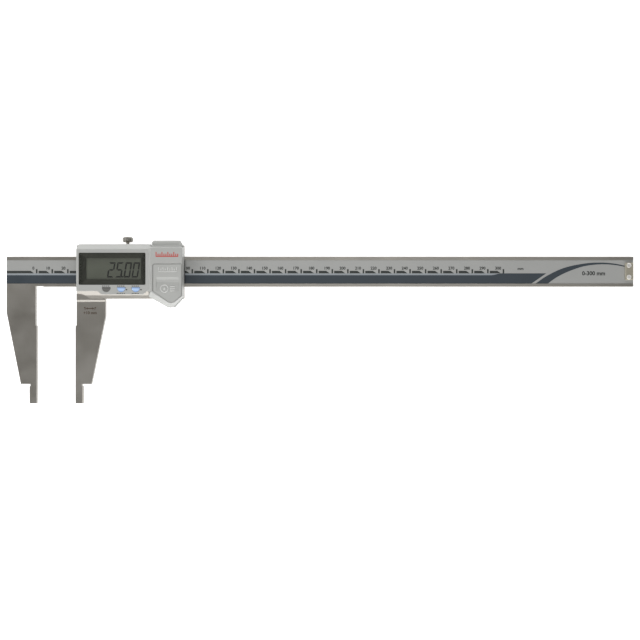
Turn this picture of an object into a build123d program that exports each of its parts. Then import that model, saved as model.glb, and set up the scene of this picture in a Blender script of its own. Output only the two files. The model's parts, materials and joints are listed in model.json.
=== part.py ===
"""Digital caliper with nib-style jaws, 0 to 300 mm, in millimetres.

X runs along the beam from the fixed jaw to the free end, Y from the jaw tips towards the beam,
and Z out of the display. The origin is the middle of the fixed jaw's measuring face, half way
through its thickness. The slider stands at a reading of 25 mm.
"""
import os

from build123d import *

os.makedirs("parts", exist_ok=True)

# ---- driving dimensions -------------------------------------------------------------------
reading = 25.0

# beam and jaws
beam_left = -19.3
beam_right = 383.5
beam_low = 50.0
beam_top = 69.3
blade = 5.0
half_blade = blade / 2
face_half = 25.0
face_relief = 0.7
edge_ease = 0.15
jaw_width = 19.2
shoulder_width = 10.2
shoulder_y = -12.5
nib_width = 5.0
undercut = 1.5
fixed_taper_y = 33.3
moving_taper_y = 30.9
beam_relief = 0.4
beam_relief_end = 4.3
jaw_pad_low = 40.3
jaw_pad_bevel = 41.5

# graduated scale, let into the front of the beam
scale_low = 52.0
scale_high = 67.1
groove_floor = 1.5
scale_board_thick = 0.6
scale_top = 2.25

# end stop
stop_left = 378.0
stop_right = 383.2
stop_low = 54.3
stop_high = 65.3
stop_top = 4.45
stop_screw_x = 380.3
stop_screw_ys = [56.1, 63.6]

# slider: a steel channel round the beam
slider_left = 26.2
slider_right = 94.6
rail_low = 42.3
rail_high = 76.6
slider_back = -4.4
slider_front = 4.4
rail_crest = 6.4
rail_crest_high = 49.0
rail_crest_low = 47.6
rail_facet_y = 44.4
rail_facet_level = 5.2
rail_foot_level = 3.3
back_bevel = 0.6
rail_undercut = 3.1
rail_overlap = 0.5
slide_gap = 0.06
gib_thick = 0.5
lip_low = 51.7
lip_high = 67.5
pad_level = 2.9
pocket_x = 27.0
pocket_y = 35.4
pocket_radius = 10.1

# clamp screw, gib and gib screws
clamp_x = 58.3
clamp_radius = 1.0
clamp_travel = 0.2
bore_gap = 0.05
gib_screw_xs = [40.0, 84.0]
gib_size = (58.0, 4.4)
knob_low = 78.8
knob_high = 82.1
knob_radius = 3.35
knurl_radius = 0.28
knurl_count = 16

# screws
screw_radius = 0.8
head_radius = 1.5
head_depth = 1.4
head_sunk = 0.2
screw_tip = 9.4
cross_width = 0.35
stop_head_thick = 0.6

# plate let into the back of the slider
plate_centre = (60.4, 59.6)
plate_size = (50.0, 12.0)
plate_recess = 0.3

# display housing
housing_left = 26.8
housing_right = 95.1
display_right = 73.9
housing_ease = 0.25
housing_low = 47.0
housing_high = 77.15
housing_foot = 4.8
housing_front = 11.5
skirt_level = 6.5
bevel_foot = 6.8
bevel_high = 73.9
cavity_low = 49.4
cavity_high = 75.3
cavity_left = 28.6
cavity_right = 93.4
cavity_step = 8.2
cavity_top = 10.2
key_cavity_low = 46.0
key_cavity_high = 50.2
key_cavity_top = 10.3

# right-hand section, which stands proud of the display and holds the battery
panel_front = 12.6
panel_left = 74.3
panel_right = 94.3
panel_high = 74.5
ridge_y = 75.6
ridge_level = 11.9
panel_corner_y = 46.5
panel_tip = (87.7, 38.3)
panel_right_y = 43.6
panel_round = 4.4
slope_foot = 72.9
skirt_left = 72.5
skirt_tip = (87.2, 35.3)
skirt_corner_y = 43.6
skirt_top = 7.5
skirt_round = 4.6
grip_back = -1.0
lip_back = 4.45
grip_reach = 0.8
rib_radius = 0.5
rib_count = 8

# display window and liquid crystal display
window_left = 28.35
window_right = 70.95
window_low = 51.0
window_high = 71.5
window_floor = 10.6
window_corner = 0.8
view_left = 33.0
view_right = 68.0
view_low = 54.5
view_high = 68.1

lcd_centre = (50.5, 61.3)
lcd_size = (39.6, 18.0)
lcd_thick = 1.2

# buttons below the display
button_xs = [45.95, 55.5, 64.75]
button_names = ["hold_button", "zero_button", "origin_button"]
button_width = 5.2
button_high = 49.4
button_low = 46.5
button_top = 11.9
button_gap = 0.12
flange_low = 9.05
flange_high = 9.55
key_middle = 48.0
key_span = 26.0
bump_low = 44.9
bump_left = 40.5
bump_right = 71.4
bump_slope = 2.3

# circuit boards, battery and data port
board_low = 7.3
board_high = 8.1
board_centre = (52.8, 60.5)
board_size = (47.6, 21.0)
connector_thick = 0.8
chip_size = (11.0, 9.0)
capacitor_size = (2.0, 1.2)
head_low = 2.45
head_high = 3.25
head_size = (60.0, 14.0)
pin_pitch = 2.54
pin_count = 10
contact_width = 1.8
contact_thick = 0.25
battery_x = 85.0
battery_y = 57.0
battery_radius = 5.8
battery_low = 5.75
battery_height = 5.4
cup_radius = 6.1
cup_floor = 5.1
cover_floor = 11.2
cover_gap = 0.16
cover_left = 75.9
cover_right = 93.9
cover_high = 64.1
cover_corner_y = 47.1
cover_tip = (87.7, 38.7)
cover_round = 4.2
scoop_left = 77.8
scoop_right = 92.4
scoop_top = 56.1
scoop_depth = 0.58
scoop_length = 9.3
cover_right_y = 44.2
port_left = 78.2
port_right = 87.8
port_low = 5.4
port_high = 9.6
cap_left = 74.9
cap_right = 94.8
cap_high = 79.2
cap_back = 4.9
cap_front = 11.8
groove_depth = 0.35

# ---- worked-out values --------------------------------------------------------------------
blade_back = Plane.XY.offset(-half_blade)
moving_face = reading
moving_right = moving_face + jaw_width
nib_root = shoulder_y
beam_middle = (beam_left + beam_right) / 2
scale_middle = (scale_low + scale_high) / 2
slot_low = beam_low - slide_gap
slot_high = beam_top + slide_gap + gib_thick
slot_half = half_blade + 0.1
housing_screw_spots = [(31.5, 48.4), (90.5, 48.4), (31.5, 73.2), (90.5, 73.2)]
bump_middle = (bump_left + bump_right) / 2


def nib(face_x, side):
    """One nib: flat inside, a cylinder about the measuring face outside, with an undercut root."""
    with BuildPart(mode=Mode.PRIVATE) as piece:
        with BuildSketch(Plane.XZ.offset(face_half)):
            with Locations((face_x, 0)):
                Circle(nib_width)
            with Locations((face_x + side * nib_width / 2, 0)):
                Rectangle(nib_width, blade, mode=Mode.INTERSECT)
        extrude(amount=-(face_half + nib_root))
        with BuildSketch(blade_back):
            with Locations((face_x + side * nib_width, nib_root - undercut / 2)):
                Rectangle(2.0, undercut)
        extrude(amount=blade, mode=Mode.SUBTRACT)
    return piece.part


def edges_near(piece, points):
    """The edge nearest to each point."""
    return [piece.edges().sort_by_distance(point)[0] for point in points]


# ---- beam ---------------------------------------------------------------------------------
with BuildPart() as main_beam:
    with BuildSketch(blade_back):
        with BuildLine():
            Polyline(
                (beam_left, beam_top),
                (beam_left, fixed_taper_y),
                (-shoulder_width, shoulder_y),
                (0, shoulder_y),
                (0, face_half),
                (-face_relief, face_half),
                (-face_relief, beam_low + beam_relief),
                (beam_relief_end, beam_low + beam_relief),
                (beam_relief_end, beam_low),
                (beam_right, beam_low),
                (beam_right, beam_top),
                close=True,
            )
        make_face()
    extrude(amount=blade)
    eased = []
    for level in (-half_blade, half_blade):
        eased += edges_near(
            main_beam,
            [
                (beam_middle, beam_top, level),
                (beam_middle, beam_low, level),
                (beam_left, beam_low, level),
                ((beam_left - shoulder_width) / 2, (fixed_taper_y + shoulder_y) / 2, level),
            ],
        )
    chamfer(eased, edge_ease)
    add(nib(0, -1))
    with BuildSketch(Plane.XY.offset(groove_floor)):
        with Locations((beam_middle, scale_middle)):
            Rectangle(beam_right - beam_left, scale_high - scale_low)
    extrude(amount=half_blade, mode=Mode.SUBTRACT)
    with BuildSketch(Plane.XY.offset(groove_floor)):
        with Locations(*[(stop_screw_x, y) for y in stop_screw_ys]):
            Circle(screw_radius)
    extrude(amount=-3.0, mode=Mode.SUBTRACT)
main_beam.part.label = "main_beam"
export_step(main_beam.part, "parts/main_beam.step")


def scale_layer(low, high):
    """A strip that fills the beam's groove, with clearance holes for the end stop's screws."""
    with BuildPart() as strip:
        with BuildSketch(Plane.XY.offset(low)):
            with Locations((beam_middle, scale_middle)):
                Rectangle(beam_right - beam_left, scale_high - scale_low)
            with Locations(*[(stop_screw_x, y) for y in stop_screw_ys]):
                Circle(screw_radius + 0.1, mode=Mode.SUBTRACT)
        extrude(amount=high - low)
    return strip


scale_board = scale_layer(groove_floor, groove_floor + scale_board_thick)
scale_board.part.label = "scale_board"
export_step(scale_board.part, "parts/scale_board.step")

scale_cover = scale_layer(groove_floor + scale_board_thick, scale_top)
scale_cover.part.label = "scale_cover"
export_step(scale_cover.part, "parts/scale_cover.step")

with BuildPart() as end_stop:
    with BuildSketch(Plane.XY.offset(scale_top)):
        with Locations(((stop_left + stop_right) / 2, (stop_low + stop_high) / 2)):
            RectangleRounded(stop_right - stop_left, stop_high - stop_low, 0.6)
        with Locations(*[(stop_screw_x, y) for y in stop_screw_ys]):
            Circle(screw_radius + 0.1, mode=Mode.SUBTRACT)
    extrude(amount=stop_top - scale_top)
    chamfer(end_stop.faces().sort_by(Axis.Z)[-1].outer_wire().edges(), 0.35)
end_stop.part.label = "end_stop"
export_step(end_stop.part, "parts/end_stop.step")

with BuildPart() as end_stop_screws:
    with BuildSketch(Plane.XY.offset(groove_floor - 2.8)):
        with Locations(*[(stop_screw_x, y) for y in stop_screw_ys]):
            Circle(screw_radius)
    extrude(amount=stop_top + 0.1 - groove_floor + 2.8)
    with BuildSketch(Plane.XY.offset(stop_top)):
        with Locations(*[(stop_screw_x, y) for y in stop_screw_ys]):
            Circle(head_radius)
    extrude(amount=stop_head_thick)
    chamfer(end_stop_screws.faces().group_by(Axis.Z)[-1].edges(), 0.2)
    with BuildSketch(Plane.XY.offset(stop_top + stop_head_thick)):
        with Locations(*[(stop_screw_x, y) for y in stop_screw_ys]):
            Rectangle(2.0, cross_width)
            Rectangle(cross_width, 2.0)
    extrude(amount=-0.35, mode=Mode.SUBTRACT)
end_stop_screws.part.label = "end_stop_screws"
export_step(end_stop_screws.part, "parts/end_stop_screws.step")

# ---- slider -------------------------------------------------------------------------------
with BuildPart() as slider_body:
    with BuildSketch(Plane.YZ.offset(slider_left)):
        with BuildLine():
            Polyline(
                (rail_low, slider_back + back_bevel),
                (rail_low + back_bevel, slider_back),
                (rail_high - back_bevel, slider_back),
                (rail_high, slider_back + back_bevel),
                (rail_high, slider_front),
                (rail_crest_high, slider_front),
                (rail_crest_high, rail_crest),
                (rail_crest_low, rail_crest),
                (rail_facet_y, rail_facet_level),
                (rail_low, rail_foot_level),
                close=True,
            )
        make_face()
        with Locations(((slot_low + slot_high) / 2, 0)):
            Rectangle(slot_high - slot_low, 2 * slot_half, mode=Mode.SUBTRACT)
        with Locations(((lip_low + lip_high) / 2, slider_front)):
            Rectangle(lip_high - lip_low, slider_front, mode=Mode.SUBTRACT)
    extrude(amount=slider_right - slider_left)
    with BuildSketch(Plane.XY.offset(pad_level)):
        with Locations((pocket_x, pocket_y)):
            Circle(pocket_radius)
    extrude(amount=rail_crest, mode=Mode.SUBTRACT)
    with BuildSketch(blade_back):
        with BuildLine():
            Polyline(
                (moving_face, shoulder_y),
                (moving_face, face_half),
                (moving_face + face_relief, face_half),
                (moving_face + face_relief, rail_low + rail_undercut),
                (moving_face + face_relief + 1.0, rail_low + rail_undercut),
                (moving_face + face_relief + 1.0, rail_low + rail_overlap),
                (moving_right, rail_low + rail_overlap),
                (moving_right, moving_taper_y),
                (moving_face + shoulder_width, shoulder_y),
                close=True,
            )
        make_face()
    extrude(amount=blade)
    eased = []
    for level in (-half_blade, half_blade):
        eased += edges_near(
            slider_body,
            [
                (moving_right, (moving_taper_y + rail_low) / 2 - 1, level),
                (moving_face + (jaw_width + shoulder_width) / 2, (moving_taper_y + shoulder_y) / 2, level),
            ],
        )
    chamfer(eased, edge_ease)
    add(nib(moving_face, 1))
    # raised pad across the jaw, running in under the rail next to the slider's left end
    for pad_high, pad_length in (
        (rail_low + rail_undercut, 1.5),
        (rail_low + rail_overlap, jaw_width - face_relief),
    ):
        with BuildSketch(Plane.YZ.offset(moving_face + face_relief)):
            with BuildLine():
                Polyline(
                    (jaw_pad_low, half_blade),
                    (jaw_pad_bevel, pad_level),
                    (pad_high, pad_level),
                    (pad_high, 0),
                    (jaw_pad_low, 0),
                    close=True,
                )
            make_face()
        extrude(amount=pad_length)
    # holes for the clamp screw and gib screws, along Y into the slot
    with BuildSketch(Plane.XZ.offset(-rail_high)):
        with Locations(*[(x, 0) for x in [clamp_x, *gib_screw_xs]]):
            Circle(clamp_radius + bore_gap)
    extrude(amount=rail_high - slot_high + 0.1, mode=Mode.SUBTRACT)
    # counterbored holes for the housing's screws
    with BuildSketch(Plane.XY.offset(slider_back)):
        with Locations(*housing_screw_spots):
            Circle(screw_radius + 0.05)
    extrude(amount=rail_crest - slider_back, mode=Mode.SUBTRACT)
    with BuildSketch(Plane.XY.offset(slider_back)):
        with Locations(*housing_screw_spots):
            Circle(head_radius)
    extrude(amount=head_depth, mode=Mode.SUBTRACT)
    # recess for the rear plate
    with BuildSketch(Plane.XY.offset(slider_back)):
        with Locations(plate_centre):
            RectangleRounded(*plate_size, 1)
    extrude(amount=plate_recess, mode=Mode.SUBTRACT)
slider_body.part.label = "slider_body"
export_step(slider_body.part, "parts/slider_body.step")

with BuildPart() as rear_plate:
    with BuildSketch(Plane.XY.offset(slider_back + 0.05)):
        with Locations(plate_centre):
            RectangleRounded(plate_size[0] - 0.2, plate_size[1] - 0.2, 0.9)
    extrude(amount=plate_recess - 0.05)
rear_plate.part.label = "rear_plate"
export_step(rear_plate.part, "parts/rear_plate.step")

with BuildPart() as housing_screws:
    with BuildSketch(Plane.XY.offset(slider_back + head_depth - 0.1)):
        with Locations(*housing_screw_spots):
            Circle(screw_radius)
    extrude(amount=screw_tip - slider_back - head_depth + 0.1)
    with BuildSketch(Plane.XY.offset(slider_back + head_sunk)):
        with Locations(*housing_screw_spots):
            Circle(head_radius - 0.1)
    extrude(amount=head_depth - head_sunk)
    with BuildSketch(Plane.XY.offset(slider_back + head_sunk)):
        with Locations(*housing_screw_spots):
            Rectangle(1.8, cross_width)
            Rectangle(cross_width, 1.8)
    extrude(amount=0.5, mode=Mode.SUBTRACT)
housing_screws.part.label = "housing_screws"
export_step(housing_screws.part, "parts/housing_screws.step")

with BuildPart() as gib:
    with BuildSketch(Plane.XZ.offset(-(beam_top + slide_gap))):
        with Locations((plate_centre[0], 0)):
            Rectangle(*gib_size)
    extrude(amount=-(gib_thick - 0.1))
gib.part.label = "gib"
export_step(gib.part, "parts/gib.step")

with BuildPart() as gib_screws:
    with BuildSketch(Plane.XZ.offset(-(slot_high - 0.1))):
        with Locations(*[(x, 0) for x in gib_screw_xs]):
            Circle(clamp_radius)
    extrude(amount=-4.5)
    with BuildSketch(Plane.XZ.offset(-(slot_high + 4.4))):
        with Locations(*[(x, 0) for x in gib_screw_xs]):
            Rectangle(2.2, cross_width)
    extrude(amount=0.7, mode=Mode.SUBTRACT)
gib_screws.part.label = "gib_screws"
export_step(gib_screws.part, "parts/gib_screws.step")

with BuildPart() as scale_wipers:
    with BuildSketch(Plane.XY.offset(scale_top + 0.1)):
        with Locations((slider_left + 1.2, scale_middle), (slider_right, scale_middle)):
            Rectangle(1.7, 14.5)
    extrude(amount=slider_front - scale_top - 0.1)
scale_wipers.part.label = "scale_wipers"
export_step(scale_wipers.part, "parts/scale_wipers.step")

# ---- clamp --------------------------------------------------------------------------------
pad_face_y = slot_high - 0.1 + clamp_travel + 0.02
pad_top_y = pad_face_y + 1.5

with BuildPart() as clamp_pad:
    with BuildSketch(Plane.XZ.offset(-pad_face_y)):
        with Locations((clamp_x, 0)):
            Circle(clamp_radius)
    extrude(amount=-(pad_top_y - pad_face_y))
clamp_pad.part.label = "clamp_pad"
export_step(clamp_pad.part, "parts/clamp_pad.step")

with BuildPart() as clamp_screw:
    with BuildSketch(Plane.XY):
        with BuildLine():
            Polyline(
                (clamp_x, pad_top_y + 0.05),
                (clamp_x + clamp_radius, pad_top_y + 0.05),
                (clamp_x + clamp_radius, knob_low - 0.7),
                (clamp_x + 1.4, knob_low),
                (clamp_x + knob_radius - 0.55, knob_low),
                (clamp_x + knob_radius, knob_low + 0.5),
                (clamp_x + knob_radius, knob_high - 0.9),
                (clamp_x + knob_radius - 0.85, knob_high),
                (clamp_x, knob_high),
                close=True,
            )
        make_face()
    revolve(axis=Axis((clamp_x, 0, 0), (0, 1, 0)))
    # coarse knurl round the knob
    with BuildSketch(Plane.XZ.offset(-knob_low)):
        with Locations((clamp_x, 0)):
            with PolarLocations(knob_radius + 0.15, knurl_count):
                Circle(knurl_radius)
    extrude(amount=-4, mode=Mode.SUBTRACT)
clamp_screw.part.label = "clamp_screw"
export_step(clamp_screw.part, "parts/clamp_screw.step")


# ---- display housing ----------------------------------------------------------------------
def button_outline(inflate):
    """A button seen from the front: straight along the top, a shallow bow along the bottom."""
    half = button_width / 2 + inflate
    with BuildSketch(mode=Mode.PRIVATE) as outline:
        with BuildLine():
            Line((-half, button_high + inflate), (half, button_high + inflate))
            Line((half, button_high + inflate), (half, button_high - 0.8))
            ThreePointArc(
                (half, button_high - 0.8),
                (0, button_low - inflate),
                (-half, button_high - 0.8),
            )
            Line((-half, button_high - 0.8), (-half, button_high + inflate))
        make_face()
    return outline.sketch


def cover_outline(inflate):
    """The battery cover's outline on the front of the right-hand section."""
    with BuildSketch(mode=Mode.PRIVATE) as outline:
        with BuildLine():
            Polyline(
                (cover_left, cover_high),
                (cover_left, cover_corner_y),
                cover_tip,
                (cover_right, cover_right_y),
                (cover_right, cover_high),
                close=True,
            )
        make_face()
        fillet(outline.vertices().sort_by(Axis.Y)[0], cover_round)
        fillet(outline.vertices().sort_by_distance((cover_left, cover_high))[0], 1.2)
        fillet(outline.vertices().sort_by_distance((cover_right, cover_right_y))[0], 1.0)
        if inflate:
            offset(amount=inflate, kind=Kind.INTERSECTION)
    return outline.sketch


def section_outline(corners, tip_round, side_round):
    """An outline of the right-hand section, pointed downwards with rounded lower corners."""
    with BuildSketch(mode=Mode.PRIVATE) as outline:
        with BuildLine():
            Polyline(*corners, close=True)
        make_face()
        low_to_high = outline.vertices().sort_by(Axis.Y)
        fillet(low_to_high[0], tip_round)
        fillet(outline.vertices().sort_by_distance(corners[1])[0], side_round)
        fillet(outline.vertices().sort_by_distance(corners[3])[0], side_round)
    return outline.sketch


skirt_outline = section_outline(
    [
        (slope_foot, ridge_y),
        (skirt_left, skirt_corner_y),
        skirt_tip,
        (housing_right, skirt_corner_y),
        (housing_right, ridge_y),
    ],
    skirt_round,
    1.2,
)
panel_outline = section_outline(
    [
        (panel_left, panel_high),
        (panel_left, panel_corner_y),
        panel_tip,
        (panel_right, panel_right_y),
        (panel_right, panel_high),
    ],
    panel_round,
    1.0,
)

with BuildPart() as display_housing:
    # left section: one profile along the display, with a bevelled upper edge
    with BuildSketch(Plane.YZ.offset(housing_left)):
        with BuildLine():
            Polyline(
                (housing_low, skirt_level + 0.5),
                (housing_low, housing_front - 0.3),
                (housing_low + 0.3, housing_front),
                (bevel_high, housing_front),
                (housing_high, bevel_foot),
                (housing_high, housing_foot),
                (rail_crest_high, housing_foot),
                (rail_crest_high, skirt_level),
                (housing_low + 0.5, skirt_level),
                close=True,
            )
        make_face()
    extrude(amount=display_right - housing_left)
    chamfer(
        edges_near(
            display_housing,
            [(50, bevel_high, housing_front), (housing_left, 60, housing_front)],
        ),
        housing_ease,
    )
    # bump that carries the buttons
    with BuildSketch(Plane.XY.offset(skirt_level)):
        with BuildLine():
            Polyline(
                (bump_left, housing_low + 0.6),
                (bump_left, housing_low),
                (bump_left + bump_slope, bump_low),
                (bump_right - bump_slope, bump_low),
                (bump_right, housing_low),
                (bump_right, housing_low + 0.6),
                close=True,
            )
        make_face()
    extrude(amount=housing_front - skirt_level)
    chamfer(edges_near(display_housing, [(bump_middle, bump_low, housing_front)]), housing_ease)
    # right-hand section: a raised panel with a sloping skirt all round
    with BuildSketch(Plane.XY.offset(skirt_top)):
        add(skirt_outline)
    with BuildSketch(Plane.XY.offset(panel_front)):
        add(panel_outline)
    loft(ruled=True)
    chamfer(
        edges_near(
            display_housing,
            [
                (panel_right, 59, panel_front),
                ((panel_left + panel_tip[0]) / 2, (panel_corner_y + panel_tip[1]) / 2, panel_front),
                ((panel_right + panel_tip[0]) / 2, (panel_right_y + panel_tip[1]) / 2, panel_front),
                (panel_tip[0], panel_tip[1] + 0.5, panel_front),
            ],
        ),
        housing_ease,
    )
    # bevelled ridge along the upper end of the panel
    with BuildSketch(Plane.YZ.offset(panel_left)):
        with BuildLine():
            Polyline(
                (panel_high - 0.5, skirt_top),
                (panel_high - 0.5, panel_front),
                (panel_high, panel_front),
                (ridge_y, ridge_level),
                (ridge_y, skirt_top),
                close=True,
            )
        make_face()
    extrude(amount=panel_right - panel_left)
    # gentle slope from the display up to the raised panel
    with BuildSketch(Plane.XZ.offset(-panel_corner_y - 0.2)):
        with BuildLine():
            Polyline(
                (slope_foot, housing_front - 1),
                (slope_foot, housing_front),
                (panel_left + 0.2, panel_front),
                (panel_left + 0.2, housing_front - 1),
                close=True,
            )
        make_face()
    extrude(amount=-(panel_high - panel_corner_y - 0.4))
    with BuildSketch(Plane.XY.offset(skirt_level)):
        add(skirt_outline)
    extrude(amount=skirt_top - skirt_level)
    with BuildSketch(Plane.XY.offset(housing_foot)):
        with Locations(((panel_left + housing_right) / 2, (rail_crest_high + ridge_y) / 2)):
            Rectangle(housing_right - panel_left + 3, ridge_y - rail_crest_high)
        with Locations((housing_right + 5, 60)):
            Rectangle(10, 40, mode=Mode.SUBTRACT)
    extrude(amount=skirt_level - housing_foot)
    # thumb grip below the steel rail, with a ribbed lip along its right-hand edge
    with BuildSketch(Plane.XY.offset(grip_back)):
        with BuildLine():
            Polyline((75.9, 41.9), (skirt_tip[0] - 1.6, skirt_tip[1] + 1.4), (93.5, 42.1), close=True)
        make_face()
    extrude(amount=skirt_level - grip_back)
    edge_run = Vector(housing_right - skirt_tip[0], skirt_corner_y - skirt_tip[1])
    edge_length = edge_run.length
    edge_angle = edge_run.get_signed_angle(Vector(1, 0), Vector(0, 0, -1))
    lip_middle = Vector(*skirt_tip) + edge_run * 0.56
    with BuildSketch(Plane.XY.offset(lip_back)):
        with Locations(Location(lip_middle, (0, 0, edge_angle))):
            RectangleRounded(edge_length * 0.76, 2 * grip_reach, grip_reach - 0.05)
    extrude(amount=skirt_level - lip_back)
    with BuildSketch(Plane.XY.offset(lip_back)):
        with Locations(Location(lip_middle, (0, 0, edge_angle))):
            with Locations((0, -grip_reach)):
                with GridLocations(edge_length * 0.7 / (rib_count - 1), 1, rib_count, 1):
                    Circle(rib_radius)
    extrude(amount=skirt_level - lip_back, mode=Mode.SUBTRACT)
    # cavity behind the display, open to the steel and stepped to follow the bevel
    with BuildSketch(Plane.XY.offset(housing_foot)):
        with Locations(((cavity_left + cavity_right) / 2, (cavity_low + cavity_high) / 2)):
            Rectangle(cavity_right - cavity_left, cavity_high - cavity_low)
        with Locations((panel_left + 0.4, cavity_high)):
            Rectangle(40, 3.0, align=(Align.MIN, Align.CENTER), mode=Mode.SUBTRACT)
    extrude(amount=cavity_step - housing_foot, mode=Mode.SUBTRACT)
    with BuildSketch(Plane.XY.offset(cavity_step)):
        with Locations(((cavity_left + cavity_right) / 2, (cavity_low + cavity_high - 2.3) / 2)):
            Rectangle(cavity_right - cavity_left, cavity_high - 2.3 - cavity_low)
    extrude(amount=cavity_top - cavity_step, mode=Mode.SUBTRACT)
    # cavity behind the buttons
    with BuildSketch(Plane.XY.offset(board_low - 0.1)):
        with Locations((bump_middle, (key_cavity_low + key_cavity_high) / 2)):
            Rectangle(key_span + 0.4, key_cavity_high - key_cavity_low)
    extrude(amount=key_cavity_top - board_low + 0.1, mode=Mode.SUBTRACT)
    # window recess and opening
    with BuildSketch(Plane.XY.offset(window_floor)):
        with Locations(((window_left + window_right) / 2, (window_low + window_high) / 2)):
            RectangleRounded(window_right - window_left, window_high - window_low, window_corner)
    extrude(amount=2, mode=Mode.SUBTRACT)
    with BuildSketch(Plane.XY.offset(cavity_top - 1)):
        with Locations(((window_left + window_right) / 2, (window_low + window_high) / 2)):
            Rectangle(window_right - window_left - 3, window_high - window_low - 3)
    extrude(amount=3, mode=Mode.SUBTRACT)
    # button holes
    with BuildSketch(Plane.XY.offset(10)):
        with Locations(*[(x, 0) for x in button_xs]):
            add(button_outline(button_gap))
    extrude(amount=3, mode=Mode.SUBTRACT)
    # seat for the battery cover, and the cup that holds the battery
    with BuildSketch(Plane.XY.offset(cover_floor)):
        add(cover_outline(cover_gap))
    extrude(amount=3, mode=Mode.SUBTRACT)
    chamfer(edges_near(display_housing, [(battery_x, cover_high + cover_gap, panel_front)]), 0.5)
    with BuildSketch(Plane.XY.offset(cup_floor - 0.3)):
        with Locations((battery_x, battery_y)):
            Circle(cup_radius + 1.0)
    extrude(amount=cavity_top - cup_floor + 0.5)
    with BuildSketch(Plane.XY.offset(cup_floor)):
        with Locations((battery_x, battery_y)):
            Circle(cup_radius)
    extrude(amount=8, mode=Mode.SUBTRACT)
    with BuildSketch(Plane.XY.offset(cup_floor)):
        with Locations((78.6, battery_y)):
            Rectangle(2.4, 2.6)
    extrude(amount=2.6, mode=Mode.SUBTRACT)
    # groove for the battery seal
    with BuildSketch(Plane.XY.offset(cover_floor - 0.6)):
        with Locations((battery_x, battery_y)):
            Circle(cup_radius + 0.9)
            Circle(cup_radius + 0.3, mode=Mode.SUBTRACT)
    extrude(amount=1, mode=Mode.SUBTRACT)
    # bosses for the four screws
    with BuildSketch(Plane.XY.offset(skirt_level)):
        with Locations(*housing_screw_spots[:2]):
            Circle(1.35)
    extrude(amount=cavity_top + 0.2 - skirt_level)
    with BuildSketch(Plane.XY.offset(housing_foot)):
        with Locations(*housing_screw_spots[2:]):
            Circle(1.4)
    extrude(amount=9.9 - housing_foot)
    with BuildSketch(Plane.XY.offset(housing_foot)):
        with Locations(*housing_screw_spots):
            Circle(screw_radius)
    extrude(amount=9.5 - housing_foot, mode=Mode.SUBTRACT)
    # data port through the upper wall
    with BuildSketch(Plane.XZ.offset(-ridge_y - 1)):
        with Locations(((port_left + port_right) / 2, (port_low + port_high) / 2)):
            Rectangle(port_right - port_left, port_high - port_low)
    extrude(amount=4, mode=Mode.SUBTRACT)
    # upper corner cut at the left end
    with BuildSketch(Plane.XY.offset(housing_foot - 1)):
        with BuildLine():
            Polyline(
                (housing_left - 1, housing_high + 1),
                (housing_left - 1, bevel_high),
                (housing_left, bevel_high),
                (housing_left + 1.0, housing_high),
                (housing_left + 1.0, housing_high + 1),
                close=True,
            )
        make_face()
    extrude(amount=10, mode=Mode.SUBTRACT)
display_housing.part.label = "display_housing"
export_step(display_housing.part, "parts/display_housing.step")

with BuildPart() as housing_seal:
    with BuildSketch(Plane.XY.offset(slider_front)):
        with Locations((60.5, 62.8)):
            Rectangle(67.4, 27.2)
            Rectangle(64.4, 24.2, mode=Mode.SUBTRACT)
        with Locations(*housing_screw_spots[2:]):
            Circle(screw_radius + 1.0, mode=Mode.SUBTRACT)
    extrude(amount=housing_foot - slider_front)
housing_seal.part.label = "housing_seal"
export_step(housing_seal.part, "parts/housing_seal.step")

# ---- display ------------------------------------------------------------------------------
window_centre = ((window_left + window_right) / 2, (window_low + window_high) / 2)
window_size = (window_right - window_left - 0.1, window_high - window_low - 0.1)

with BuildPart() as window_mask:
    with BuildSketch(Plane.XY.offset(window_floor)):
        with Locations(window_centre):
            RectangleRounded(*window_size, window_corner - 0.05)
        with Locations(((view_left + view_right) / 2, (view_low + view_high) / 2)):
            Rectangle(view_right - view_left, view_high - view_low, mode=Mode.SUBTRACT)
    extrude(amount=0.1)
window_mask.part.label = "window_mask"
export_step(window_mask.part, "parts/window_mask.step")

with BuildPart() as display_window:
    with BuildSketch(Plane.XY.offset(window_floor + 0.1)):
        with Locations(window_centre):
            RectangleRounded(*window_size, window_corner - 0.05)
    extrude(amount=0.7)
display_window.part.label = "display_window"
export_step(display_window.part, "parts/display_window.step")

with BuildPart() as lcd_panel:
    with BuildSketch(Plane.XY.offset(board_high + connector_thick)):
        with Locations(lcd_centre):
            Rectangle(*lcd_size)
    extrude(amount=lcd_thick)
lcd_panel.part.label = "lcd_panel"
export_step(lcd_panel.part, "parts/lcd_panel.step")

with BuildPart() as lcd_connector:
    with BuildSketch(Plane.XY.offset(board_high)):
        with Locations((lcd_centre[0], 69.2)):
            Rectangle(lcd_size[0] - 1.6, 1.6)
    extrude(amount=connector_thick)
lcd_connector.part.label = "lcd_connector"
export_step(lcd_connector.part, "parts/lcd_connector.step")

# ---- electronics --------------------------------------------------------------------------
with BuildPart() as main_board:
    with BuildSketch(Plane.XY.offset(board_low)):
        with Locations(board_centre):
            Rectangle(*board_size)
        with Locations((bump_middle, 49.0)):
            Rectangle(key_span, 5.6)
    extrude(amount=board_high - board_low)
main_board.part.label = "main_board"
export_step(main_board.part, "parts/main_board.step")

with BuildPart() as measuring_chip:
    with BuildSketch(Plane.XY.offset(board_high)):
        with Locations((lcd_centre[0], board_centre[1])):
            Rectangle(*chip_size)
    extrude(amount=0.65)
measuring_chip.part.label = "measuring_chip"
export_step(measuring_chip.part, "parts/measuring_chip.step")

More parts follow.
